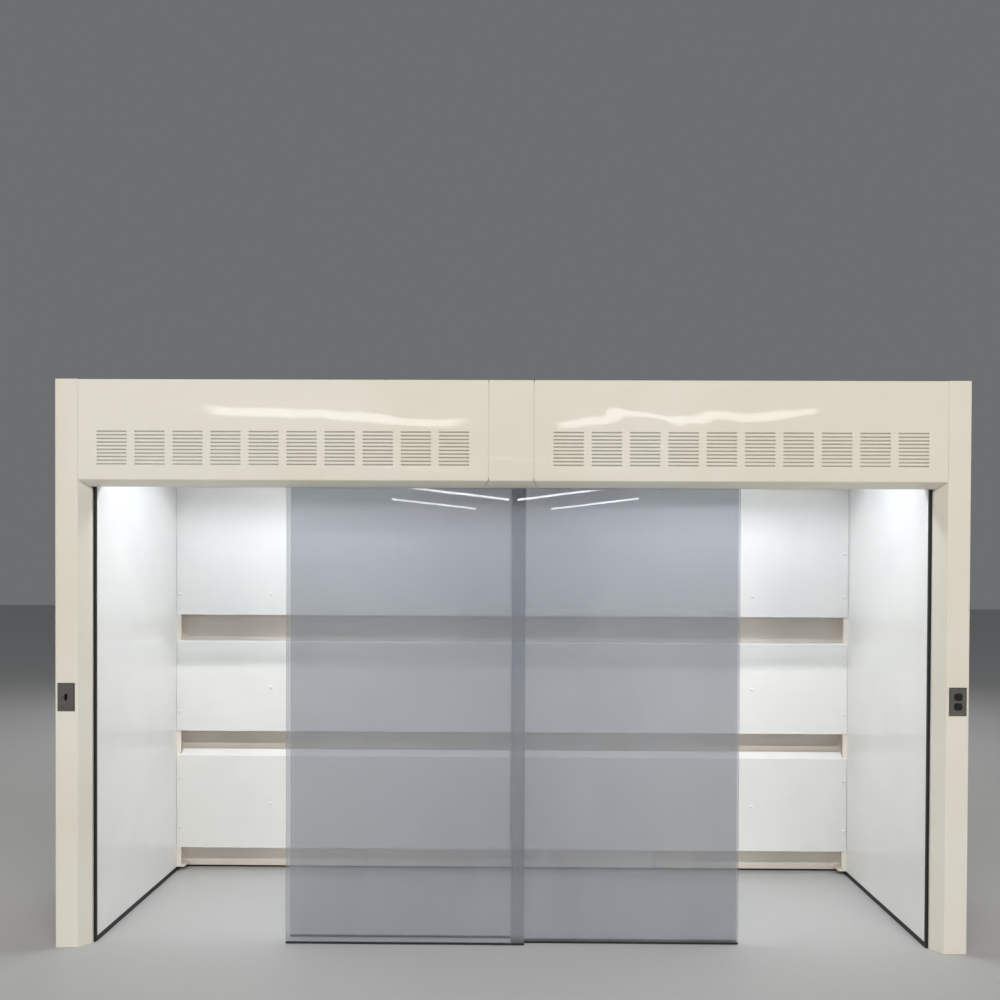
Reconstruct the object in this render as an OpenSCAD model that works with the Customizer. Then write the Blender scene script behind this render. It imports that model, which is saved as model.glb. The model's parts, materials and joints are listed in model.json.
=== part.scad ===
// Walk-in fume hood, 12 ft wide, with four hanging glass sashes that slide sideways.
// The origin is on the floor, at the middle of the hood's width and depth.
// The front faces -Y. Modules work with y = 0 at the front face, and in_place() shifts them.

/* [Overall] */
// Width across the outer side panels
hood_w = 3658; // [3500:1:3800]
// Depth from the front face to the rear panel
hood_d = 1219; // [1200:1:1260]
// Height of the casing, without the exhaust collars
hood_h = 2286; // [2270:1:2340]
// Thickness of the painted steel sheet
sheet_t = 2; // [1.5:0.1:2.5]
// Outer radius of the folds in the front sheets
fold_r = 5; // [3:0.5:8]

/* [Front frame] */
// Width of a post's flat front
post_face_w = 91; // [85:1:100]
// Width of a post's chamfer, seen from the front
chamfer_w = 38; // [30:1:42]
// Depth of the chamfer and of the header's lower bevel
chamfer_d = 50; // [44:1:56]
// Depth of a post along the hood's side
post_d = 180; // [150:1:220]
// Height of the header's flat front
header_h = 402; // [380:1:420]
// Height of the header's lower bevel
bevel_h = 29; // [20:1:36]
// Width of the filler panel in the middle of the header
filler_w = 178; // [150:1:200]
// How far the filler's bevel widens on each side
filler_flare = 28; // [10:1:32]
// Gap of the seams on each side of the filler
seam_gap = 3; // [1:0.5:5]

/* [Louvres] */
// Groups of louvres in one header panel
louvre_groups = 10; // [1:1:10]
// Louvres in one group
louvre_rows = 10; // [1:1:10]
// Distance from one group to the next
group_pitch = 152.4; // [140:0.1:154]
// Width of one louvre
louvre_w = 120; // [80:1:125]
// Height of one louvre's slot
louvre_h = 6; // [4:0.5:7]
// Distance from one louvre to the next
louvre_pitch = 14.5; // [13:0.1:16]
// Height of the top edge of the highest louvre
louvre_top = 2080; // [2060:1:2110]

/* [Chamber] */
// Half of the width between the side liners
chamber_half = 1689; // [1660:1:1692]
// Thickness of the liner panels and the baffles
liner_t = 6; // [4:0.5:6]
// Depth at which the side liners start
liner_front = 76; // [76:1:80]
// Depth of the back liner's face
back_wall = 1120; // [1110:1:1140]
// Height of the side liners above the floor
liner_gap = 22; // [15:1:30]
// Height of the back liner above the floor
back_gap = 8; // [6:1:12]
// Height of the ceiling liner
ceiling_z = 2180; // [2175:1:2185]
// Distance from the middle to the seams of the back liner
back_seam = 738; // [725:1:750]

/* [Baffles] */
// Depth of the baffles' faces
baffle_face = 1030; // [1020:1:1035]
// Lowest point of the lower baffles
lower_z0 = 123; // [110:1:140]
// Top of the lower baffles' flat face
lower_z1 = 588; // [570:1:600]
// Height of the lip along the lower baffles' top
lower_lip = 30; // [10:1:34]
// Lowest point of the middle baffles
middle_z0 = 714; // [700:1:730]
// Top of the middle baffles' flat face
middle_z1 = 1161; // [1140:1:1180]
// Height of the lip along the middle baffles' top
middle_lip = 8; // [4:1:20]
// Lowest point of the upper baffles
upper_z0 = 1300; // [1280:1:1320]
// Top of the upper baffles, where the sloping ones start
upper_z1 = 1940; // [1930:1:1950]
// Depth of the sloping baffles' front edge
slope_front = 700; // [680:1:740]
// Height of the sloping baffles' front edge
slope_top = 2150; // [2130:1:2155]
// Width of the channels that hold the baffles' outer edges
channel_w = 22; // [16:1:24]

/* [Sashes] */
// Width of the panes in the front and the rear channel
outer_pane_w = 973; // [930:1:980]
// Width of the panes in the two middle channels
inner_pane_w = 928; // [900:1:980]
// Thickness of the glass
pane_t = 6; // [5:0.5:8]
// Lowest point of the glass
pane_z0 = 6; // [6:1:12]
// Top of the glass, inside its hanger rail
pane_z1 = 1905; // [1895:1:1910]
// Depth of the front channel's middle
first_channel = 62; // [62:1:64]
// Distance from one channel to the next
channel_pitch = 26; // [26:0.5:27]
// Places of the four panes' middles, from the front channel to the rear one
pane_x1 = -426; // [-1190:1:1190]
pane_x2 = 471; // [-1190:1:1190]
pane_x3 = 468; // [-1190:1:1190]
pane_x4 = -425; // [-1190:1:1190]
// Radius of the rollers that carry the sashes
roller_r = 10; // [8:0.5:10]
// Radius of the rollers' axles
axle_r = 3; // [2.5:0.1:3.5]
// Distance from a pane's end to its roller
roller_inset = 60; // [50:1:120]

/* [Services] */
// Height of the wall plates' middles
plate_z = 1010; // [900:1:1200]
// Width of a wall plate
plate_w = 70; // [70:0.5:72]
// Height of a wall plate
plate_h = 114; // [114:0.5:117]
// Thickness of a wall plate
plate_t = 5; // [4:0.5:6]
// Angle of the switch's lever above level
toggle_tilt = 13; // [8:1:15]
// Outer radius of the exhaust collars, for 12 in duct
collar_r = 152.4; // [150:0.1:153]
// Height of the collars above the roof
collar_h = 76; // [60:1:100]
// Distance from the middle to a collar's or a light's middle
collar_x = 914; // [880:1:930]
// Depth of the collars' middles
collar_y = 920; // [900:1:930]

/* [Hidden] */
$fn = 48;

// How far a cut runs past the faces it cuts
over = 1;
half_w = hood_w / 2;
header_low = hood_h - header_h;
bevel_low = header_low - bevel_h;
fold_x = half_w - post_face_w;
post_inner = fold_x - chamfer_w;
post_return = 12;
post_back = chamfer_d + post_return;
header_return = 60;
header_hem = 22;
bevel_cut_w = 60;
joint_gap = 1;
// Overlap of two pieces that are welded into one
weld_lap = 0.5;

// Louvre blade: how deep it starts in the sheet, its thickness and how far it falls
blade_lap = 1;
blade_t = 1.2;
blade_fall = 7;

// Tabs of the header's filler, behind the neighbouring panels
tab_w = 16;
tab_inset = 10;
tab_gap = 0.2;

// Casing panels: height above the floor and gap to the posts; gap between two boards of the back liner
panel_z0 = 4;
panel_gap = 2;
board_gap = 3;

// The switch's lever turns about an axle behind the plate
toggle_pivot_y = 4;
toggle_len = 15;
toggle_tip_r = 3.2;
toggle_proud = toggle_len * cos(toggle_tilt) + toggle_tip_r - toggle_pivot_y;
front_y = (toggle_proud - hood_d) / 2;
plate_x = half_w - post_face_w / 2;
// Half sizes of the opening behind a wall plate
box_half_w = 26;
box_half_h = 40;

// Track and hangers, from the rollers' ledge up and down
track_z0 = 1950;
ledge_t = 3;
axle_z = track_z0 + ledge_t + roller_r + 0.3;
track_z1 = track_z0 + 34;
track_y0 = first_channel - channel_pitch / 2;
track_y1 = track_y0 + 4 * channel_pitch;
channel_in = 22;
track_top_t = 4;
stop_w = 18;
stop_h = 20;
hanger_gap = 8;
hanger_t = 4;
// The strip under a pane: its wall, its depth below the glass and its grip on the glass
sweep_t = 1.5;
sweep_drop = 4;
sweep_grip = 2;
rail_t = 16;
rail_z0 = pane_z1 - 25;
rail_z1 = pane_z1 + 20;
track_half = chamber_half - joint_gap;
// Half width of the plates that carry the rollers, and a pane's gap to the liner at its end of travel
hanger_half = 20;
end_gap = 4;
stop_clearance = 0.5;
axle_head = 9;
axle_fit = 0.05;
roller_t = 4.6;
roller_y = 6.5;
stop_len = roller_inset - hanger_half + end_gap - joint_gap - stop_clearance;
pane_places = [pane_x1, pane_x2, pane_x3, pane_x4];
pane_widths = [outer_pane_w, inner_pane_w, inner_pane_w, outer_pane_w];

// Baffle fixings: distances from the middle, and heights in each row
edge_knob = 18;
knob_columns = [20, 734, chamber_half - edge_knob];
knob_single = 1210;
knob_heights = [[226, 477], [810, 1061], [1403, 1619]];
single_heights = [346, 936, 1403];
knob_r = 8;
knob_shaft_r = 3;
standoff_r = 10;
baffle_gap = 2;
slope_foot = 10;
// How far a screw holds in its standoff, and the hole that it goes into
knob_grip = 10;
standoff_hole = 15;
// Foot under a channel
foot_w = 38;
foot_h = 12;

spigot_r = collar_r - 2;
collar_t = 1.6;
collar_step = 2;
flange_w = 34;

light_len = 1200;
light_y0 = 190;
light_y1 = 390;
housing_h = 90;
housing_t = 1.5;
// Margins of a light's housing past its opening
housing_end = 15;
housing_side = 10;
lens_t = 4;
// The lamp tube: its distance from the opening's rear edge, its height above the ceiling and its ends' gap
tube_r = 13;
tube_back = 88;
tube_rise = 59;
tube_end = 5;
socket_half = 12;
socket_t = 19;

cream = [0.87, 0.85, 0.79];
white = [0.93, 0.94, 0.94];
beige = [0.85, 0.81, 0.76];
steel_grey = [0.55, 0.56, 0.57];
dark = [0.06, 0.06, 0.07];

// ---- helpers ----

module in_place() translate([0, front_y, 0]) children();

// Draws the same piece on the right-hand side as well
module both_sides() {
    children();
    mirror([1, 0, 0]) children();
}

// A box between two corners
module block(low, high) translate(low) cube(high - low);

// A profile drawn in depth and height, extruded along X between two places
module along_x(x0, x1) translate([x0, 0, 0]) rotate([90, 0, 90]) linear_extrude(x1 - x0) children();

function unit(v) = v / norm(v);

// The arc of radius r that rounds the corner b between a and c
function arc_corner(a, b, c, r, steps = 5) =
    let (u = unit(a - b), v = unit(c - b), half = acos(u * v) / 2)
    let (side = u[0] * v[1] - u[1] * v[0] > 0 ? -1 : 1)
    let (centre = b + unit(u + v) * r / sin(half), start = b + u * r / tan(half) - centre)
    [for (k = [0 : steps])
        let (turn = side * (180 - 2 * half) * k / steps)
        centre + [start[0] * cos(turn) - start[1] * sin(turn), start[0] * sin(turn) + start[1] * cos(turn)]];

// A line of points with every inner corner rounded
function rounded(pts, r) =
    concat([pts[0]],
           [for (i = [1 : len(pts) - 2]) each arc_corner(pts[i - 1], pts[i], pts[i + 1], r)],
           [pts[len(pts) - 1]]);

function left_of(v) = [-v[1], v[0]];
function leg(pts, i) = unit(pts[min(i + 1, len(pts) - 1)] - pts[min(i, len(pts) - 2)]);
function mitre(pts, i, t) =
    let (sum = left_of(leg(pts, max(i - 1, 0))) + left_of(leg(pts, i)))
    2 * t * sum / (sum * sum);

// A sheet of thickness t, folded along a line of points, on the line's left-hand side
module folded(pts, t = sheet_t)
    polygon(concat(pts, [for (i = [len(pts) - 1 : -1 : 0]) pts[i] + mitre(pts, i, t)]));

// ---- front frame ----

// Everything above the header's bevel plane, over the chamfer of a post
module above_bevel(x0, x1)
    along_x(x0, x1)
        polygon([
            [-over, header_low + bevel_h * over / chamfer_d],
            [post_back + over, header_low - bevel_h * (post_back + over) / chamfer_d],
            [post_back + over, hood_h + over],
            [-over, hood_h + over]
        ]);

module post() {
    difference() {
        linear_extrude(hood_h)
            folded(rounded([
                [-half_w, post_d], [-half_w, 0], [-fold_x, 0],
                [-post_inner, chamfer_d], [-post_inner, post_back]
            ], fold_r));
        above_bevel(-fold_x, -post_inner + over);
        block([-plate_x - box_half_w, -over, plate_z - box_half_h],
              [-plate_x + box_half_w, sheet_t + over, plate_z + box_half_h]);
    }
}

module left_post() color(cream) in_place() post();
module right_post() color(cream) in_place() mirror([1, 0, 0]) post();

module header_profile()
    folded(rounded([
        [header_return, hood_h], [0, hood_h], [0, header_low],
        [chamfer_d, bevel_low], [chamfer_d, bevel_low + header_hem]
    ], fold_r));

// Cuts the bevel along a line that leaves x0 at the front and moves by run over the chamfer's depth
module bevel_cut(x0, run, side) {
    deep = chamfer_d + tab_inset;
    translate([0, 0, bevel_low - over])
        linear_extrude(bevel_h + over)
            polygon([
                [x0, -over], [x0, 0], [x0 + run * deep / chamfer_d, deep],
                [x0 + side * bevel_cut_w, deep], [x0 + side * bevel_cut_w, -over]
            ]);
}

// One louvre's blade, pressed inwards from the slot's upper edge
module louvre_blade(z_top)
    polygon([
        [blade_lap, z_top], [blade_lap + blade_t, z_top + blade_t],
        [blade_lap + blade_t + blade_fall, z_top + blade_t - blade_fall],
        [blade_lap + blade_fall, z_top - blade_fall]
    ]);

module header_panel() {
    inner = filler_w / 2 + seam_gap;
    outer = fold_x - joint_gap;
    middle = (inner + outer) / 2;
    first = middle - (louvre_groups - 1) * group_pitch / 2 - louvre_w / 2;
    difference() {
        along_x(inner, outer) header_profile();
        bevel_cut(outer, -chamfer_w, 1);
        bevel_cut(inner, filler_flare, -1);
        for (group = [0 : louvre_groups - 1], row = [0 : louvre_rows - 1])
            translate([first + group * group_pitch, -over, louvre_top - louvre_h - row * louvre_pitch])
                cube([louvre_w, sheet_t + 2 * over, louvre_h]);
    }
    for (group = [0 : louvre_groups - 1], row = [0 : louvre_rows - 1])
        along_x(first + group * group_pitch, first + group * group_pitch + louvre_w)
            louvre_blade(louvre_top - row * louvre_pitch);
}

module header_left() color(cream) in_place() mirror([1, 0, 0]) header_panel();
module header_right() color(cream) in_place() header_panel();

module header_centre() {
    edge = filler_w / 2;
    tab = edge + tab_w;
    tab_z0 = header_low + tab_inset;
    tab_z1 = hood_h - tab_inset;
    color(cream) in_place() {
        difference() {
            along_x(-edge - filler_flare, edge + filler_flare) header_profile();
            both_sides() bevel_cut(edge, filler_flare, 1);
            both_sides()
                block([edge, -over, header_low],
                      [edge + filler_flare + over, header_return + over, hood_h + over]);
        }
        // tabs behind the neighbouring panels close the seams
        block([-tab, sheet_t + tab_gap, tab_z0], [tab, 2 * sheet_t + tab_gap, tab_z1]);
        block([-edge + tab_inset, sheet_t - weld_lap, tab_z0],
              [edge - tab_inset, sheet_t + tab_gap + weld_lap, tab_z1]);
    }
}

// ---- casing ----

module side_panel()
    block([-half_w, post_d + panel_gap, panel_z0], [-half_w + sheet_t, hood_d - sheet_t, hood_h - sheet_t]);
module left_side_panel() color(cream) in_place() side_panel();
module right_side_panel() color(cream) in_place() mirror([1, 0, 0]) side_panel();

module rear_panel()
    color(cream) in_place() block([-half_w, hood_d - sheet_t, panel_z0], [half_w, hood_d, hood_h - sheet_t]);

// A vertical round cut through something thin, for each exhaust collar
module collar_holes(z0, z1, r)
    for (side = [-1, 1])
        translate([side * collar_x, collar_y, z0]) cylinder(r = r, h = z1 - z0, $fn = 96);

// Two sheets that meet over the middle roof beams
module roof_panel()
    color(cream) in_place() both_sides() difference() {
        block([joint_gap / 2, header_return + 1, hood_h - sheet_t], [half_w, hood_d, hood_h]);
        block([half_w - sheet_t, header_return, hood_h - sheet_t - over],
              [half_w + over, post_d + joint_gap, hood_h + over]);
        collar_holes(hood_h - sheet_t - over, hood_h + over, spigot_r + 0.5);
    }

frame_tube = 40;
tube_wall = 2;
// Gap that a weld bead fills between two tubes
weld_gap = 0.5;
frame_x0 = half_w - 49;
front_upright = 64;
rear_upright = hood_d - 59;
beam_z0 = hood_h - 50;
rail_heights = [60, 1120];
roof_beam_x = 200;
dropper_places = [-1500, -500, 500, 1500];
dropper_w = 36;

// A square tube between two corners, open at both ends along one axis and short of its neighbours there
module tube(low, high, axis) {
    ends = [for (i = [0 : 2]) i == axis ? weld_gap : 0];
    wall = [for (i = [0 : 2]) i == axis ? -over : tube_wall];
    difference() {
        block(low + ends, high - ends);
        block(low + wall, high - wall);
    }
}

module side_frames() {
    x0 = -frame_x0;
    x1 = x0 + frame_tube;
    color(steel_grey) in_place() both_sides() {
        for (y = [front_upright, rear_upright])
            tube([x0, y, -weld_gap], [x1, y + frame_tube, beam_z0], 2);
        for (z = rail_heights)
            tube([x0, front_upright + frame_tube, z], [x1, rear_upright, z + frame_tube], 1);
        tube([x0, front_upright, beam_z0], [x1, rear_upright + frame_tube, beam_z0 + frame_tube], 1);
    }
}

module roof_frame() {
    inner = frame_x0 - frame_tube;
    color(steel_grey) in_place() {
        for (y = [front_upright, rear_upright])
            tube([-inner, y, beam_z0], [inner, y + frame_tube, beam_z0 + frame_tube], 0);
        for (x = [-roof_beam_x, roof_beam_x])
            tube([x - frame_tube / 2, front_upright + frame_tube, beam_z0],
                 [x + frame_tube / 2, rear_upright, beam_z0 + frame_tube], 1);
        // droppers that carry the sash track
        for (x = dropper_places)
            tube([x - dropper_w / 2, front_upright, track_z1 - weld_gap],
                 [x + dropper_w / 2, front_upright + dropper_w, beam_z0], 2);
    }
}

// A collar for the duct above a flange, with a narrower spigot that passes through roof and ceiling
module exhaust_collar(x)
    color(steel_grey) in_place() translate([x, collar_y, 0]) rotate_extrude($fn = 96)
        polygon([
            [spigot_r - collar_t, ceiling_z - 4], [spigot_r, ceiling_z - 4], [spigot_r, hood_h],
            [collar_r + flange_w, hood_h], [collar_r + flange_w, hood_h + collar_step],
            [collar_r, hood_h + collar_step], [collar_r, hood_h + collar_h],
            [collar_r - collar_t, hood_h + collar_h], [collar_r - collar_t, hood_h + collar_step],
            [spigot_r - collar_t, hood_h]
        ]);
module exhaust_collar_left() exhaust_collar(-collar_x);
module exhaust_collar_right() exhaust_collar(collar_x);

// ---- chamber lining ----

module side_liner()
    block([-chamber_half - liner_t, liner_front, liner_gap], [-chamber_half, back_wall + liner_t, ceiling_z]);
module left_liner() color(white) in_place() side_liner();
module right_liner() color(white) in_place() mirror([1, 0, 0]) side_liner();

module back_liner()
    color(beige) in_place() {
        both_sides()
            block([-chamber_half, back_wall, back_gap],
                  [-back_seam - board_gap / 2, back_wall + liner_t, ceiling_z]);
        block([-back_seam + board_gap / 2, back_wall, back_gap],
              [back_seam - board_gap / 2, back_wall + liner_t, ceiling_z]);
    }

ceiling_front = track_y1 + 4;
ceiling_seam = 620;

// Four boards, the front ones with an opening for a light and the rear ones for a collar, and an apron
module ceiling_liner()
    color(white) in_place() {
        both_sides() difference() {
            for (span = [[ceiling_front, ceiling_seam], [ceiling_seam + joint_gap, back_wall + liner_t]])
                block([joint_gap / 2, span[0], ceiling_z],
                      [chamber_half + liner_t, span[1], ceiling_z + liner_t]);
            block([collar_x - light_len / 2, light_y0, ceiling_z - over],
                  [collar_x + light_len / 2, light_y1, ceiling_z + liner_t + over]);
            collar_holes(ceiling_z - over, ceiling_z + liner_t + over, spigot_r + 0.5);
        }
        block([-chamber_half + joint_gap, ceiling_front, track_z1 + 6],
              [chamber_half - joint_gap, ceiling_front + liner_t, ceiling_z]);
    }

// ---- baffles ----

// The holes for one row's fixings, on the right-hand side
module fixing_holes(row) {
    for (x = knob_columns, z = knob_heights[row]) fixing_hole(x, z);
    fixing_hole(knob_single, single_heights[row]);
}
module fixing_hole(x, z)
    translate([x, baffle_face - over, z])
        rotate([-90, 0, 0]) cylinder(r = knob_shaft_r + 0.5, h = liner_t + 2 * over, $fn = 24);

// A baffle on the right-hand side, with a lip along its top that leans back and ends beside the channel
module baffle(row, z0, z1, lip)
    difference() {
        along_x(baffle_gap, chamber_half - baffle_gap)
            folded([[baffle_face, z0], [baffle_face, z1], [baffle_face + lip, z1 + lip]], -liner_t);
        block([chamber_half - channel_w - joint_gap, baffle_face + liner_t, z1 - liner_t],
              [chamber_half, baffle_face + lip + 2 * liner_t, z1 + lip + 2 * liner_t]);
        fixing_holes(row);
    }

module lower_baffle() baffle(0, lower_z0, lower_z1, lower_lip);
module middle_baffle() baffle(1, middle_z0, middle_z1, middle_lip);
module upper_baffle()
    difference() {
        block([baffle_gap, baffle_face, upper_z0],
              [chamber_half - baffle_gap, baffle_face + liner_t, upper_z1]);
        fixing_holes(2);
    }
module top_baffle()
    along_x(baffle_gap, chamber_half - baffle_gap)
        folded([
            [baffle_face, upper_z1 + joint_gap], [baffle_face, upper_z1 + slope_foot], [slope_front, slope_top]
        ], -liner_t);

module baffle_lower_left() color(white) in_place() mirror([1, 0, 0]) lower_baffle();
module baffle_lower_right() color(white) in_place() lower_baffle();
module baffle_middle_left() color(white) in_place() mirror([1, 0, 0]) middle_baffle();
module baffle_middle_right() color(white) in_place() middle_baffle();
module baffle_upper_left() color(white) in_place() mirror([1, 0, 0]) upper_baffle();
module baffle_upper_right() color(white) in_place() upper_baffle();
module baffle_top_left() color(white) in_place() mirror([1, 0, 0]) top_baffle();
module baffle_top_right() color(white) in_place() top_baffle();

// A post between a baffle and the back liner, with a blind hole for its screw
module standoff(x, z)
    translate([x, baffle_face + liner_t, z]) rotate([-90, 0, 0])
        difference() {
            cylinder(r = standoff_r, h = back_wall - baffle_face - liner_t, $fn = 24);
            translate([0, 0, -over]) cylinder(r = knob_shaft_r + 0.1, h = standoff_hole + over, $fn = 24);
        }

module baffle_supports()
    color(beige) in_place() both_sides() {
        difference() {
            translate([0, 0, liner_gap])
                linear_extrude(upper_z1 - liner_gap)
                    folded([
                        [chamber_half - channel_w, baffle_face + liner_t],
                        [chamber_half, baffle_face + liner_t],
                        [chamber_half, back_wall], [chamber_half - channel_w, back_wall]
                    ]);
            for (row = [0 : 2], z = knob_heights[row])
                translate([chamber_half - edge_knob, baffle_face, z])
                    rotate([-90, 0, 0]) cylinder(r = knob_shaft_r + 0.5, h = 2 * knob_grip, $fn = 24);
        }
        // foot under the channel
        block([chamber_half - foot_w, baffle_face + liner_t, liner_gap],
              [chamber_half - sheet_t / 2, back_wall, liner_gap + foot_h]);
        for (row = [0 : 2]) {
            for (x = [knob_columns[0], knob_columns[1]], z = knob_heights[row]) standoff(x, z);
            standoff(knob_single, single_heights[row]);
        }
    }

// A domed screw that holds a baffle, seen from its head
module knob(x, z)
    translate([x, baffle_face, z]) rotate([90, 0, 0]) {
        rotate_extrude($fn = 32)
            polygon([[0, 0], [knob_r, 0], [knob_r, 2], [knob_r - 1, 4.5], [knob_r - 3.5, 6], [0, 6.5]]);
        translate([0, 0, -liner_t - knob_grip])
            cylinder(r = knob_shaft_r, h = liner_t + knob_grip + weld_lap, $fn = 24);
    }

module baffle_knobs()
    color(white) in_place() both_sides()
        for (row = [0 : 2]) {
            for (x = knob_columns, z = knob_heights[row]) knob(x, z);
            knob(knob_single, single_heights[row]);
        }

// ---- sash track and seals ----

function channel_y(i) = first_channel + (i - 1) * channel_pitch;

module sash_track()
    color([0.75, 0.76, 0.77]) in_place() along_x(-track_half, track_half)
        difference() {
            translate([track_y0, track_z0]) square([4 * channel_pitch, track_z1 - track_z0]);
            for (i = [1 : 4]) {
                translate([channel_y(i) - channel_in / 2, track_z0 + ledge_t])
                    square([channel_in, track_z1 - track_z0 - ledge_t - track_top_t]);
                translate([channel_y(i) - hanger_gap / 2, track_z0 - over])
                    square([hanger_gap, ledge_t + 2 * over]);
            }
        }

module track_stops()
    color(dark) in_place() both_sides()
        for (i = [1 : 4])
            block([track_half - stop_len, channel_y(i) - stop_w / 2, track_z0 + ledge_t],
                  [track_half, channel_y(i) + stop_w / 2, track_z0 + ledge_t + stop_h]);

gasket_w = 10;
seal_t = 4;

module side_gaskets()
    color(dark) in_place() both_sides()
        block([post_inner - gasket_w, post_back, 0],
              [post_inner, liner_front - joint_gap, bevel_low + gasket_w]);

module floor_seals()
    color(dark) in_place() {
        both_sides()
            block([chamber_half + joint_gap, liner_front, 0],
                  [chamber_half + joint_gap + seal_t, back_wall + liner_t, liner_gap]);
        block([-chamber_half, back_wall + joint_gap, 0],
              [chamber_half, back_wall + joint_gap + seal_t, back_gap]);
    }

// ---- lights ----

tube_y = light_y1 - tube_back;
tube_z = ceiling_z + tube_rise;

module light_housing(x) {
    low = [x - light_len / 2 - housing_end, light_y0 - housing_side, ceiling_z + liner_t];
    high = [x + light_len / 2 + housing_end, light_y1 + housing_side, ceiling_z + liner_t + housing_h];
    difference() {
        block(low, high);
        block(low + [housing_t, housing_t, -over], high - [housing_t, housing_t, housing_t]);
    }
    // a socket at each end of the tube, hung from the housing's top
    for (end = [-1, 1])
        translate([x + end * (light_len / 2 + tube_end), tube_y, 0])
            block([-socket_t / 2, -socket_half, tube_z - socket_half],
                  [socket_t / 2, socket_half, high[2] - weld_lap]);
}

module light_housings()
    color([0.9, 0.9, 0.9]) in_place() {
        light_housing(-collar_x);
        light_housing(collar_x);
    }

module light_lenses()
    color([0.9, 0.95, 1, 0.4]) in_place()
        for (side = [-1, 1])
            block([side * collar_x - light_len / 2, light_y0, ceiling_z + joint_gap],
                  [side * collar_x + light_len / 2, light_y1, ceiling_z + joint_gap + lens_t]);

module light_tubes()
    color([1, 1, 1]) in_place()
        for (side = [-1, 1])
            translate([side * collar_x - light_len / 2 + tube_end, tube_y, tube_z])
                rotate([0, 90, 0]) cylinder(r = tube_r, h = light_len - 2 * tube_end, $fn = 32);

// ---- wall plates ----

// A plate with sloping edges, at the middle of a post's front
module wall_plate(x)
    translate([x, 0, plate_z]) difference() {
        union() {
            block([-plate_w / 2, -plate_t + 3, -plate_h / 2], [plate_w / 2, 0, plate_h / 2]);
            along_x(-plate_w / 2 + 4, plate_w / 2 - 4)
                polygon([
                    [-1, -plate_h / 2 + 1], [-plate_t, -plate_h / 2 + 4],
                    [-plate_t, plate_h / 2 - 4], [-1, plate_h / 2 - 1]
                ]);
        }
        children();
    }

module round_cut(z, r) translate([0, -plate_t - over, z]) rotate([-90, 0, 0]) cylinder(r = r, h = 40);

switch_screw = 30.15;
body_half_w = 16.5;
body_half_h = 34.5;

// The strap that pulls a switch or an outlet against the back of the sheet
module yoke() block([-9, sheet_t, -box_half_h - 8], [9, sheet_t + 1.5, box_half_h + 8]);

module switch_plate()
    color(steel_grey) in_place() wall_plate(-plate_x) {
        block([-5.2, -plate_t - over, -12], [5.2, over, 12]);
        for (side = [-1, 1]) round_cut(side * switch_screw, 1.9);
    }

module switch_body()
    color(dark) in_place() translate([-plate_x, 0, plate_z]) difference() {
        union() {
            block([-body_half_w, 0, -body_half_h], [body_half_w, 30, body_half_h]);
            yoke();
        }
        block([-4, -over, -11], [4, 14, 11]);
        translate([-8, toggle_pivot_y, 0]) rotate([0, 90, 0]) cylinder(r = 2.05, h = 16);
        for (side = [-1, 1]) round_cut(side * switch_screw, 1.7);
    }

module switch_toggle()
    color(dark) in_place() translate([-plate_x, toggle_pivot_y, plate_z]) {
        translate([-7.5, 0, 0]) rotate([0, 90, 0]) cylinder(r = 2, h = 15);
        rotate([-toggle_tilt, 0, 0]) {
            translate([-3.4, 0, 0]) rotate([0, 90, 0]) cylinder(r = 3.8, h = 6.8);
            translate([-3.4, -toggle_len, 0]) rotate([0, 90, 0]) cylinder(r = toggle_tip_r, h = 6.8);
            block([-3.4, -toggle_len, -toggle_tip_r], [3.4, 0, toggle_tip_r]);
        }
    }

// Outline of one receptacle face: a disc with two flat sides
module receptacle_face(grow)
    intersection() {
        circle(r = 17 + grow);
        square([2 * (17 + grow), 2 * (14.2 + grow)], center = true);
    }

receptacle_z = 19.5;

// A receptacle face extruded backwards from depth y0 to y1
module face_block(z, y0, y1, grow)
    translate([0, y1, z]) rotate([90, 0, 0]) linear_extrude(y1 - y0) receptacle_face(grow);

module outlet_plate()
    color(steel_grey) in_place() wall_plate(plate_x) {
        for (side = [-1, 1]) face_block(side * receptacle_z, -plate_t - over, over, 0.4);
        round_cut(0, 1.9);
    }

module outlet_body()
    color(dark) in_place() translate([plate_x, 0, plate_z]) difference() {
        union() {
            block([-body_half_w, 0, -body_half_h], [body_half_w, 32, body_half_h]);
            yoke();
            for (side = [-1, 1]) face_block(side * receptacle_z, -plate_t - 0.5, 1, 0);
        }
        // two blade slots and a round earth hole in each face
        for (side = [-1, 1]) {
            block([-7.4, -plate_t - over, side * receptacle_z - 1.5], [-5.4, 12, side * receptacle_z + 7]);
            block([5.4, -plate_t - over, side * receptacle_z - 1], [7.1, 12, side * receptacle_z + 6]);
            round_cut(side * receptacle_z - 7, 2.4);
        }
        round_cut(0, 1.7);
    }

// A raised oval screw head on a plate, with its shank and a straight slot
module plate_screw(x, z)
    translate([x, -plate_t, plate_z + z]) rotate([90, 0, 0]) difference() {
        union() {
            rotate_extrude($fn = 32) polygon([[0, 0], [3.6, 0], [3.2, 0.6], [1.8, 1.1], [0, 1.3]]);
            translate([0, 0, -14]) cylinder(r = 1.6, h = 14.1, $fn = 24);
        }
        block([-4, -0.4, 0.6], [4, 0.4, 3]);
    }

module plate_screws()
    color([0.7, 0.7, 0.7]) in_place() {
        for (side = [-1, 1]) plate_screw(-plate_x, side * switch_screw);
        plate_screw(plate_x, 0);
    }

// ---- sashes ----

function half_pane(i) = pane_widths[i - 1] / 2;
module at_sash(i) in_place() translate([pane_places[i - 1], channel_y(i), 0]) children();

module sash_pane(i)
    color([0.6, 0.62, 0.64, 0.5]) at_sash(i)
        block([-half_pane(i), -pane_t / 2, pane_z0], [half_pane(i), pane_t / 2, pane_z1]);

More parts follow.
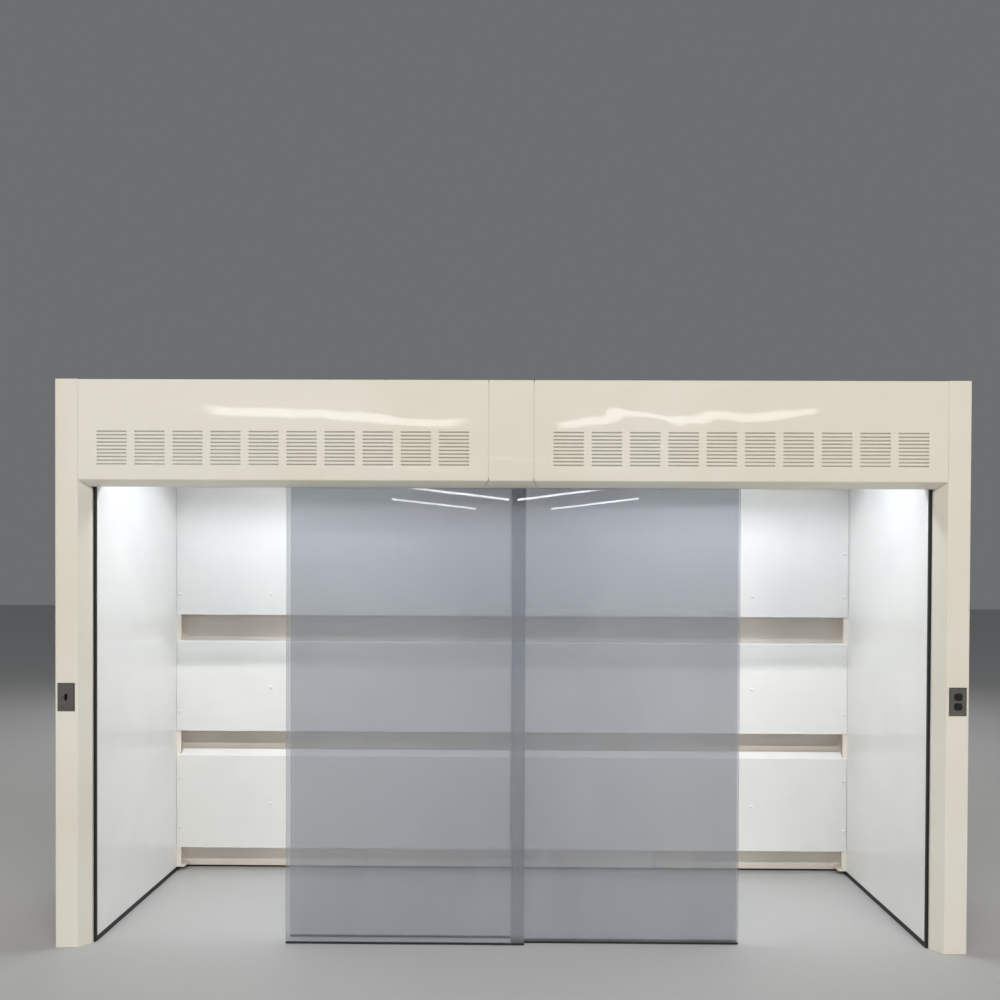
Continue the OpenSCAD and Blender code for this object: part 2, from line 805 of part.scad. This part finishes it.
// A clamp rail over the glass's top edge, with two plates that reach up into the channel
module sash_hanger(i)
    color([0.75, 0.76, 0.77]) at_sash(i) {
        difference() {
            block([-half_pane(i), -rail_t / 2, rail_z0], [half_pane(i), rail_t / 2, rail_z1]);
            block([-half_pane(i) - over, -pane_t / 2, rail_z0 - over],
                  [half_pane(i) + over, pane_t / 2, pane_z1]);
        }
        for (end = [-1, 1])
            translate([end * (half_pane(i) - roller_inset), 0, 0]) difference() {
                block([-hanger_half, -hanger_t / 2, rail_z1 - 2],
                      [hanger_half, hanger_t / 2, axle_z + axle_head]);
                translate([0, 0, axle_z]) rotate([90, 0, 0])
                    cylinder(r = axle_r + axle_fit, h = rail_t, center = true);
            }
    }

// A soft strip round the glass's bottom edge
module sash_sweep(i)
    color(dark) at_sash(i) difference() {
        block([-half_pane(i), -pane_t / 2 - sweep_t, pane_z0 - sweep_drop],
              [half_pane(i), pane_t / 2 + sweep_t, pane_z0 + sweep_grip]);
        block([-half_pane(i) - over, -pane_t / 2, pane_z0],
              [half_pane(i) + over, pane_t / 2, pane_z0 + sweep_grip + over]);
    }

// Two small wheels on one axle, one on each side of the hanger plate
module roller(i, end)
    color([0.85, 0.85, 0.82]) at_sash(i)
        translate([end * (half_pane(i) - roller_inset), 0, axle_z]) rotate([90, 0, 0]) {
            cylinder(r = axle_r, h = 2 * axle_head, center = true);
            for (side = [-1, 1])
                translate([0, 0, side * roller_y]) cylinder(r = roller_r, h = roller_t, center = true);
        }

module sash_pane_1() sash_pane(1);
module sash_pane_2() sash_pane(2);
module sash_pane_3() sash_pane(3);
module sash_pane_4() sash_pane(4);
module sash_hanger_1() sash_hanger(1);
module sash_hanger_2() sash_hanger(2);
module sash_hanger_3() sash_hanger(3);
module sash_hanger_4() sash_hanger(4);
module sash_sweep_1() sash_sweep(1);
module sash_sweep_2() sash_sweep(2);
module sash_sweep_3() sash_sweep(3);
module sash_sweep_4() sash_sweep(4);
module roller_1_left() roller(1, -1);
module roller_1_right() roller(1, 1);
module roller_2_left() roller(2, -1);
module roller_2_right() roller(2, 1);
module roller_3_left() roller(3, -1);
module roller_3_right() roller(3, 1);
module roller_4_left() roller(4, -1);
module roller_4_right() roller(4, 1);

left_post();
right_post();
header_left();
header_right();
header_centre();
left_side_panel();
right_side_panel();
rear_panel();
roof_panel();
left_liner();
right_liner();
back_liner();
ceiling_liner();
baffle_lower_left();
baffle_lower_right();
baffle_middle_left();
baffle_middle_right();
baffle_upper_left();
baffle_upper_right();
baffle_top_left();
baffle_top_right();
baffle_supports();
baffle_knobs();
side_frames();
roof_frame();
exhaust_collar_left();
exhaust_collar_right();
sash_track();
track_stops();
side_gaskets();
floor_seals();
light_housings();
light_lenses();
light_tubes();
switch_plate();
switch_body();
switch_toggle();
outlet_plate();
outlet_body();
plate_screws();
sash_pane_1();
sash_pane_2();
sash_pane_3();
sash_pane_4();
sash_hanger_1();
sash_hanger_2();
sash_hanger_3();
sash_hanger_4();
sash_sweep_1();
sash_sweep_2();
sash_sweep_3();
sash_sweep_4();
roller_1_left();
roller_1_right();
roller_2_left();
roller_2_right();
roller_3_left();
roller_3_right();
roller_4_left();
roller_4_right();
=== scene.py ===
"""Looks of the walk-in fume hood: materials, lights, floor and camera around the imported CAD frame."""

import json
import math

import bpy
from mathutils import Matrix, Vector


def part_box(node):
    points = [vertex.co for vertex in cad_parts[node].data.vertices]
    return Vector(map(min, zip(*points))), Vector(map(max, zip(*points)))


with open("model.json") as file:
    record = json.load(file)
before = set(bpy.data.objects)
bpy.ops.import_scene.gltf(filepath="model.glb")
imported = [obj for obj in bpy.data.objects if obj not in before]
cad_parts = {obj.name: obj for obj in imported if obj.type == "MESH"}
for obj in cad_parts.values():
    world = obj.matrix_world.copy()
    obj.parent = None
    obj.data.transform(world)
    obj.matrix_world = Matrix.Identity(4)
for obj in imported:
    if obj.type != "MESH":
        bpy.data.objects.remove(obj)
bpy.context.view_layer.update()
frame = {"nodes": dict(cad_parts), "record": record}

# ---- node helpers ----


class Shader:
    """A material's node tree, with short calls for the nodes that the finishes share."""

    def __init__(self, name):
        self.material = bpy.data.materials.new(name)
        self.material.use_nodes = True
        self.tree = self.material.node_tree
        self.bsdf = self.tree.nodes["Principled BSDF"]
        self.output = self.tree.nodes["Material Output"]
        self.coords = self.tree.nodes.new("ShaderNodeTexCoord").outputs["Object"]

    def node(self, kind, inputs=None, **settings):
        made = self.tree.nodes.new(kind)
        for key, value in settings.items():
            setattr(made, key, value)
        for key, value in (inputs or {}).items():
            self.feed(made.inputs[key], value)
        return made

    def feed(self, socket, value):
        """Links an output socket, or sets a plain value."""
        if isinstance(value, bpy.types.NodeSocket):
            self.tree.links.new(value, socket)
        else:
            socket.default_value = value

    def set(self, **values):
        """Plain values on the shader's own sockets; an underscore stands for a space."""
        for key, value in values.items():
            self.feed(self.bsdf.inputs[key.replace("_", " ")], value)

    def stretched(self, scale):
        return self.node("ShaderNodeMapping", {"Vector": self.coords, "Scale": scale}).outputs["Vector"]

    def noise(self, scale, detail=3.0, rough=0.5, where=None, distortion=0.0):
        """Noise with `scale` features per metre."""
        return self.node(
            "ShaderNodeTexNoise",
            {"Vector": where or self.coords, "Scale": scale, "Detail": detail, "Roughness": rough,
             "Distortion": distortion},
        ).outputs["Fac"]

    def remap(self, value, low, high, to_low=0.0, to_high=1.0):
        return self.node(
            "ShaderNodeMapRange",
            {"Value": value, "From Min": low, "From Max": high, "To Min": to_low, "To Max": to_high},
            interpolation_type="SMOOTHSTEP",
        ).outputs["Result"]

    def math(self, operation, a, b=0.0):
        return self.node("ShaderNodeMath", {0: a, 1: b}, operation=operation).outputs[0]

    def mix(self, factor, a, b):
        made = self.node("ShaderNodeMix", data_type="RGBA")
        self.feed(made.inputs[0], factor)
        self.feed(made.inputs[6], a)
        self.feed(made.inputs[7], b)
        return made.outputs[2]

    def bump(self, height, depth, after=None):
        """A bump `depth` metres deep, on top of the normal `after`."""
        made = self.node("ShaderNodeBump", {"Height": height, "Distance": depth, "Strength": 1.0})
        if after is not None:
            self.feed(made.inputs["Normal"], after)
        return made.outputs["Normal"]

    def edge_mask(self, radius, grain):
        """1 along convex and concave edges, 0 elsewhere, broken up by a grain."""
        rounded = self.node("ShaderNodeBevel", {"Radius": radius}, samples=4).outputs["Normal"]
        flat = self.node("ShaderNodeNewGeometry").outputs["Normal"]
        agree = self.node(
            "ShaderNodeVectorMath", {0: rounded, 1: flat}, operation="DOT_PRODUCT"
        ).outputs["Value"]
        mask = self.remap(agree, 0.995, 0.93)
        return self.math("MULTIPLY", mask, grain)

    def pane(self, clear, normal, ior, gloss):
        """A clear sheet whose faces reflect like glass."""
        glossy = self.node("ShaderNodeBsdfGlossy", {**gloss, "Normal": normal}).outputs[0]
        facing = self.node("ShaderNodeFresnel", {"IOR": ior, "Normal": normal}).outputs[0]
        return self.node("ShaderNodeMixShader", {0: facing, 1: clear, 2: glossy}).outputs[0]

    def light_passes(self, surface, clear):
        """Ends the material: `surface` to the eye, `clear` to the light that passes through."""
        shadow = self.node("ShaderNodeLightPath").outputs["Is Shadow Ray"]
        shown = self.node("ShaderNodeMixShader", {0: shadow, 1: surface, 2: clear}).outputs[0]
        self.feed(self.output.inputs["Surface"], shown)


def rgb(r, g, b):
    """A colour written as 0 to 255 screen values, turned into linear light."""
    def linear(v):
        v /= 255
        return v / 12.92 if v <= 0.04045 else ((v + 0.055) / 1.055) ** 2.4
    return (linear(r), linear(g), linear(b), 1.0)


# ---- materials ----


def cream_paint():
    """Glossy powder coat on folded sheet: soft oil-canning waves under a fine orange peel."""
    wave_depth, peel_depth, coat_peel_depth = 0.0072, 0.00004, 0.00001
    s = Shader("cream_paint")
    cloud = s.remap(s.noise(1.3, 4), 0.35, 0.65)
    speck = s.remap(s.noise(90, 2), 0.6, 0.8)
    base = s.mix(cloud, rgb(222, 217, 204), rgb(226, 223, 213))
    base = s.mix(s.math("MULTIPLY", speck, 0.12), base, rgb(206, 199, 184))
    wear = s.edge_mask(0.003, s.remap(s.noise(14, 3), 0.45, 0.75))
    base = s.mix(s.math("MULTIPLY", wear, 0.35), base, rgb(244, 241, 232))
    smudge = s.remap(s.noise(2.2, 5, 0.6), 0.4, 0.75, 0.30, 0.42)
    s.set(Base_Color=base, Roughness=smudge, Coat_Weight=0.7, Coat_Roughness=0.045, Coat_IOR=1.5,
          Specular_IOR_Level=0.4)
    oil_can = s.noise(1.9, 2.0, 0.35, s.stretched((1.0, 1.0, 1.3)), 0.4)
    fine = s.noise(260, 1.5)
    s.set(Normal=s.bump(fine, peel_depth, s.bump(oil_can, wave_depth)),
          Coat_Normal=s.bump(fine, coat_peel_depth, s.bump(oil_can, wave_depth)))
    return s.material


def liner(name, pale, shade, gloss=0.30, tint_scale=1.8):
    """Smooth glass-reinforced board: satin gel coat with faint clouding and wipe marks."""
    wave_depth, grain_depth = 0.0022, 0.00006
    s = Shader(name)
    cloud = s.remap(s.noise(tint_scale, 5, 0.55), 0.35, 0.7)
    wipes = s.remap(s.noise(3.0, 4, 0.6, s.stretched((0.6, 1.0, 5.0)), 0.6), 0.45, 0.8)
    base = s.mix(cloud, pale, shade)
    base = s.mix(s.math("MULTIPLY", wipes, 0.25), base, shade)
    s.set(Base_Color=base, Roughness=s.remap(wipes, 0.0, 1.0, gloss, gloss + 0.14),
          Coat_Weight=0.25, Coat_Roughness=0.16, Specular_IOR_Level=0.45)
    wave = s.bump(s.noise(1.7, 2, 0.4), wave_depth)
    s.set(Normal=s.bump(s.noise(160, 3, 0.6), grain_depth, wave))
    return s.material


def tinted_glass():
    """Grey safety glass, slightly wavy, with a film of dust and wiped patches that light passes through;
    the film fades out along the top of the panes as a painted shadow of the header.
    """
    wave_depth, ior = 0.0011, 1.5
    film_low, film_high, speck_film = 0.095, 0.15, 0.03
    # Heights where the dust film fades to a small share: painted shadow of the header across the top of the
    # panes
    painted_shadow_from, painted_shadow_to, painted_shadow_share = 1.765, 1.815, 0.15
    s = Shader("tinted_glass")
    s.set(Base_Color=(0.05, 0.055, 0.06, 1), Roughness=0.03, IOR=ior)
    clear = s.node("ShaderNodeBsdfTransparent", {"Color": (0.825, 0.832, 0.845, 1)}).outputs[0]
    wave = s.bump(s.noise(2.1, 1.5, 0.35, s.stretched((0.8, 1.0, 0.5))), wave_depth)
    pane = s.pane(clear, wave, ior, {"Color": (1, 1, 1, 1), "Roughness": 0.0})
    wiped = s.noise(1.6, 6, 0.62, s.stretched((3.0, 1.0, 0.55)), 0.8)
    smears = s.remap(wiped, 0.40, 0.80, film_low, film_high)
    specks = s.remap(s.noise(55, 3, 0.6), 0.68, 0.8, 0.0, speck_film)
    lit = s.node("ShaderNodeBsdfDiffuse", {"Color": rgb(236, 238, 242), "Roughness": 0.5}).outputs[0]
    through = s.node("ShaderNodeBsdfTranslucent", {"Color": rgb(236, 240, 246)}).outputs[0]
    dust = s.node("ShaderNodeMixShader", {0: 0.5, 1: lit, 2: through}).outputs[0]
    height = s.node("ShaderNodeSeparateXYZ", {0: s.coords}).outputs["Z"]
    # Dust film faded above the header's shadow line: painted shade
    upper = s.remap(height, painted_shadow_from, painted_shadow_to, 1.0, painted_shadow_share)
    film = s.math("MULTIPLY", s.math("ADD", smears, specks), upper)
    s.light_passes(s.node("ShaderNodeMixShader", {0: film, 1: pane, 2: dust}).outputs[0], clear)
    return s.material


def lamp_lens():
    """Clear prismatic lamp cover."""
    prism_scale, prism_depth, ior = 90.0, 0.0015, 1.45
    s = Shader("lamp_lens")
    prisms = s.node("ShaderNodeTexVoronoi", {"Vector": s.coords, "Scale": prism_scale}).outputs["Distance"]
    clear = s.node("ShaderNodeBsdfTransparent", {"Color": (0.96, 0.97, 0.98, 1)}).outputs[0]
    s.light_passes(s.pane(clear, s.bump(prisms, prism_depth), ior, {"Roughness": 0.12}), clear)
    return s.material


def lamp_tube():
    """White coated lamp tube, lit."""
    s = Shader("lamp_tube")
    s.set(Base_Color=(0.95, 0.96, 0.98, 1), Roughness=0.25, Emission_Color=(0.93, 0.96, 1.0, 1),
          Emission_Strength=6.0, Normal=s.bump(s.noise(30, 2), 0.0002))
    return s.material


def brushed(name, colour, dark, grain):
    """Metal with a fine grain in one direction, and darker handling marks."""
    rough, grain_depth = 0.36, 0.00003
    s = Shader(name)
    lines = s.noise(1.0, 3, 0.7, s.stretched(grain))
    marks = s.remap(s.noise(24, 4, 0.6), 0.45, 0.75)
    base = s.mix(s.math("MULTIPLY", marks, 0.5), colour, dark)
    s.set(Base_Color=base, Metallic=1.0, Roughness=s.remap(lines, 0.2, 0.8, rough - 0.08, rough + 0.12),
          Normal=s.bump(lines, grain_depth))
    return s.material


def galvanised():
    """Zinc-coated sheet with its crystal spangle."""
    s = Shader("galvanised_steel")
    cells = s.node("ShaderNodeTexVoronoi", {"Vector": s.coords, "Scale": 55.0, "Randomness": 1.0})
    grey = s.node("ShaderNodeSeparateColor", {0: cells.outputs["Color"]}).outputs[0]
    base = s.mix(grey, rgb(158, 162, 165), rgb(196, 199, 201))
    s.set(Base_Color=base, Metallic=1.0, Roughness=s.remap(grey, 0, 1, 0.32, 0.5),
          Normal=s.bump(s.noise(40, 3), 0.0001))
    return s.material


def enamel(name, colour, dark, rough):
    """Plain paint or moulded plastic with a fine grain, dust and rubbed edges."""
    s = Shader(name)
    dust = s.remap(s.noise(9, 5, 0.65), 0.45, 0.75)
    wear = s.edge_mask(0.0012, s.remap(s.noise(60, 3), 0.4, 0.7))
    base = s.mix(s.math("MULTIPLY", dust, 0.5), colour, dark)
    rubbed = tuple(min(1, c * 1.6 + 0.03) for c in colour[:3]) + (1,)
    base = s.mix(s.math("MULTIPLY", wear, 0.35), base, rubbed)
    s.set(Base_Color=base, Roughness=s.remap(dust, 0, 1, rough, rough + 0.15),
          Normal=s.bump(s.noise(700, 2), 0.00005))
    return s.material


def rubber():
    """Matt extruded rubber with dust in its grain."""
    s = Shader("black_rubber")
    dust = s.remap(s.noise(35, 5, 0.7), 0.5, 0.85)
    base = s.mix(s.math("MULTIPLY", dust, 0.5), (0.012, 0.012, 0.013, 1), (0.06, 0.058, 0.055, 1))
    s.set(Base_Color=base, Roughness=s.remap(dust, 0, 1, 0.55, 0.85),
          Normal=s.bump(s.noise(300, 3), 0.0001))
    return s.material


VERTICAL_GRAIN, SIDEWAYS_GRAIN = (600.0, 600.0, 4.0), (3.0, 3.0, 600.0)

FINISHES = {
    "cream_paint": cream_paint(),
    "white_liner": liner("white_liner", rgb(239, 238, 235), rgb(233, 232, 230)),
    "beige_liner": liner("beige_liner", rgb(248, 240, 229), rgb(240, 231, 219), 0.36, 2.4),
    "white_nylon": enamel("white_nylon", rgb(236, 237, 236), rgb(205, 205, 202), 0.3),
    "frame_steel": enamel("frame_steel", rgb(150, 152, 153), rgb(112, 112, 110), 0.45),
    "galvanised_steel": galvanised(),
    "anodised_aluminium": brushed(
        "anodised_aluminium", rgb(205, 207, 209), rgb(168, 170, 172), VERTICAL_GRAIN
    ),
    "black_rubber": rubber(),
    "lamp_housing_paint": enamel("lamp_housing_paint", rgb(176, 176, 174), rgb(158, 158, 154), 0.3),
    "lamp_lens": lamp_lens(),
    "lamp_tube": lamp_tube(),
    "stainless_steel": brushed("stainless_steel", rgb(150, 147, 142), rgb(104, 101, 97), SIDEWAYS_GRAIN),
    "black_plastic": enamel("black_plastic", rgb(22, 22, 24), rgb(44, 43, 42), 0.32),
    "tinted_glass": tinted_glass(),
    "roller_nylon": enamel("roller_nylon", rgb(226, 226, 220), rgb(180, 178, 170), 0.4),
}

# Widths of the rounded edges, in metres
EDGE_RADIUS = {
    "cream_paint": 0.0007, "white_liner": 0.0015, "beige_liner": 0.0012, "stainless_steel": 0.0006,
    "black_plastic": 0.0005, "anodised_aluminium": 0.0006, "tinted_glass": 0.0012,
}

# Starts of the names of the boards whose screw holes leave no room for rounded edges
DRILLED = ("baffle_lower", "baffle_middle", "baffle_upper")

WELD_DISTANCE = 0.00002
SMOOTH_LIMIT, ROUND_LIMIT = math.radians(30), math.radians(35)


def shade_by_angle(limit):
    """A node group that smooths across shallow angles and keeps the sharp edges sharp."""
    group = bpy.data.node_groups.new("shade_by_angle", "GeometryNodeTree")
    for way in ("INPUT", "OUTPUT"):
        group.interface.new_socket("Geometry", in_out=way, socket_type="NodeSocketGeometry")
    angle = group.nodes.new("GeometryNodeInputMeshEdgeAngle").outputs["Unsigned Angle"]
    sharp = group.nodes.new("FunctionNodeCompare")
    sharp.data_type, sharp.operation = "FLOAT", "GREATER_THAN"
    group.links.new(angle, sharp.inputs["A"])
    sharp.inputs["B"].default_value = limit
    normals = group.nodes.new("GeometryNodeSetMeshNormal")
    normals.inputs["Remove Custom"].default_value = True
    normals.inputs["Face Sharpness"].default_value = False
    group.links.new(sharp.outputs["Result"], normals.inputs["Edge Sharpness"])
    group.links.new(group.nodes.new("NodeGroupInput").outputs["Geometry"], normals.inputs["Mesh"])
    group.links.new(normals.outputs["Mesh"], group.nodes.new("NodeGroupOutput").inputs["Geometry"])
    return group


SHADING = shade_by_angle(SMOOTH_LIMIT)

for part in frame["record"]["subparts"]:
    node = frame["nodes"][part["node"]]
    slot = part["material_slot"]
    for index in range(len(node.material_slots)):
        node.material_slots[index].material = FINISHES[slot]
    if slot in EDGE_RADIUS and not part["node"].startswith(DRILLED):
        weld = node.modifiers.new("weld", "WELD")
        weld.merge_threshold = WELD_DISTANCE
        shading = node.modifiers.new("shading", "NODES")
        shading.node_group = SHADING
        rounding = node.modifiers.new("rounding", "BEVEL")
        rounding.width = EDGE_RADIUS[slot]
        rounding.segments = 2
        rounding.limit_method = "ANGLE"
        rounding.angle_limit = ROUND_LIMIT
        rounding.harden_normals = True

# ---- floor ----


def make_floor():
    """A pale studio floor, far wider than the hood."""
    half, drop = 40.0, 0.0005
    corners = [(-half, -half, 0), (half, -half, 0), (half, half, 0), (-half, half, 0)]
    mesh = bpy.data.meshes.new("studio_floor")
    mesh.from_pydata(corners, [], [(0, 1, 2, 3)])
    floor = bpy.data.objects.new("studio_floor", mesh)
    bpy.context.collection.objects.link(floor)
    floor.location.z = -drop
    s = Shader("studio_floor")
    s.set(Base_Color=s.mix(s.noise(0.7, 4), rgb(190, 190, 190), rgb(196, 196, 195)), Roughness=0.6,
          Normal=s.bump(s.noise(60, 3), 0.0003))
    mesh.materials.append(s.material)


make_floor()

# ---- light ----


LAMP_POWER, KEY_POWER, FILL_POWER, BACK_POWER, WORLD_STRENGTH = 6.3, 720.0, 225.0, 260.0, 0.17
LAMP_COLOUR, KEY_COLOUR, FILL_COLOUR = (0.90, 0.95, 1.0), (1.0, 0.965, 0.90), (1.0, 0.975, 0.93)

front_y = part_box("header_left")[0].y
tubes_low, tubes_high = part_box("light_tubes")


def area_light(name, place, target, size, power, colour=(1, 1, 1), **seen):
    """A rectangular light that the camera doesn't see; `seen` names other rays that skip it."""
    data = bpy.data.lights.new(name, "AREA")
    data.shape = "RECTANGLE"
    data.size, data.size_y = size
    data.energy = power
    data.color = colour
    light = bpy.data.objects.new(name, data)
    bpy.context.collection.objects.link(light)
    light.location = place
    direction = Vector(target) - Vector(place)
    light.rotation_euler = direction.to_track_quat("-Z", "Y").to_euler()
    light.visible_camera = False
    for key, value in seen.items():
        setattr(light, "visible_" + key, value)
    return light


def make_lamps():
    """Two narrow strips under each lamp tube, one to the front and one to the back of its underside."""
    length, width, gap = 1.16, 0.02, 0.002
    half_tube = 0.595
    radius = (tubes_high.z - tubes_low.z) / 2
    tube_y, tube_z = (tubes_low.y + tubes_high.y) / 2, (tubes_low.z + tubes_high.z) / 2
    tube_x = tubes_high.x - half_tube
    reach = (radius + gap) * math.sqrt(0.5)
    for side in (-1, 1):
        for lean in (-1, 1):
            place = Vector((side * tube_x, tube_y + lean * reach, tube_z - reach))
            target = place + Vector((0, lean, -1))
            area_light(f"lamp_{side}_{lean}", place, target, (length, width), LAMP_POWER, LAMP_COLOUR)


def make_studio_lights():
    """A long key strip high in front, a fill on each side and one behind."""
    # the header's lower edge cuts the key light off halfway down the baffles
    away, rise, header_edge = 9.0, 0.817, 1.855
    key_place = (0.3, front_y - away, header_edge + rise * away)
    area_light("key", key_place, (0, front_y, 1.3), (9.0, 0.2), KEY_POWER, KEY_COLOUR, glossy=False)
    for side in (-1, 1):
        area_light(f"fill_{side}", (side * 6.0, front_y - 8.0, 1.9), (0, front_y, 1.2), (4.0, 3.0),
                   FILL_POWER, FILL_COLOUR, glossy=False)
    area_light("back_fill", (0, 7.0, 5.0), (0, 0, 1.2), (7.0, 3.0), BACK_POWER, glossy=False)


def reflected_strip(name, start, end, width, radiance):
    """A thin glowing strip that shows only as a streak in gloss paint and glass."""
    start, end, target = Vector(start), Vector(end), Vector((0, front_y, 1.9))
    length = (end - start).length
    middle = (start + end) / 2
    power = radiance * math.pi * length * width
    light = area_light(name, middle, target, (length, width), power, diffuse=False, transmission=False)
    along = (end - start).normalized()
    toward = (target - middle).normalized()
    across = toward.cross(along).normalized()
    turned = Matrix((along, -across, -toward)).transposed()
    light.rotation_euler = turned.to_euler()


# Name, distance in front, outer x and z, inner x and z, width, radiance; each is there left and right
STRIPS = (
    ("streak_high", 20.0, (3.3, 3.67), (0.1, 3.28), 0.045, 9.0),
    ("streak_low", 20.0, (3.0, 3.30), (0.9, 3.05), 0.04, 8.0),
    ("header_glow", 7.0, (3.4, 3.75), (0.5, 3.30), 0.28, 7.0),
)

make_lamps()
make_studio_lights()
for side in (-1, 1):
    for name, away, outer, inner, width, radiance in STRIPS:
        reflected_strip(f"{name}_{side}", (side * outer[0], front_y - away, outer[1]),
                        (side * inner[0], front_y - away, inner[1]), width, radiance)

world = bpy.data.worlds.new("studio")
world.use_nodes = True
bpy.context.scene.world = world
background = world.node_tree.nodes["Background"]
background.inputs["Color"].default_value = (0.90, 0.93, 0.97, 1)
background.inputs["Strength"].default_value = WORLD_STRENGTH

# Four panes, each of two faces, lie one behind another where the sashes overlap
bpy.context.scene.cycles.transparent_max_bounces = 24
bpy.context.scene.view_settings.view_transform = "Standard"

# ---- camera ----


def make_camera():
    """A camera in front of the hood, at eye height, turned by about a degree at most."""
    distance, across, height = 3.9952, 0.0164, 1.5151
    yaw, pitch, roll = 0.0092, -0.0121, -0.0043
    shift_across, shift_up, far = -0.0056, 0.0853, 200
    turn = Matrix.Rotation(yaw, 3, "Z") @ Matrix.Rotation(pitch, 3, "X") @ Matrix.Rotation(roll, 3, "Y")
    right, forward, up = turn.col[0], turn.col[1], turn.col[2]
    data = bpy.data.cameras.new("camera")
    data.lens, data.sensor_width = 36.0, 36.0
    data.shift_x, data.shift_y = shift_across, shift_up
    data.clip_end = far
    camera = bpy.data.objects.new("camera", data)
    bpy.context.collection.objects.link(camera)
    axes = Matrix((right, up, -forward)).transposed()
    camera.matrix_world = Matrix.Translation((across, front_y - distance, height)) @ axes.to_4x4()
    bpy.context.scene.camera = camera


make_camera()
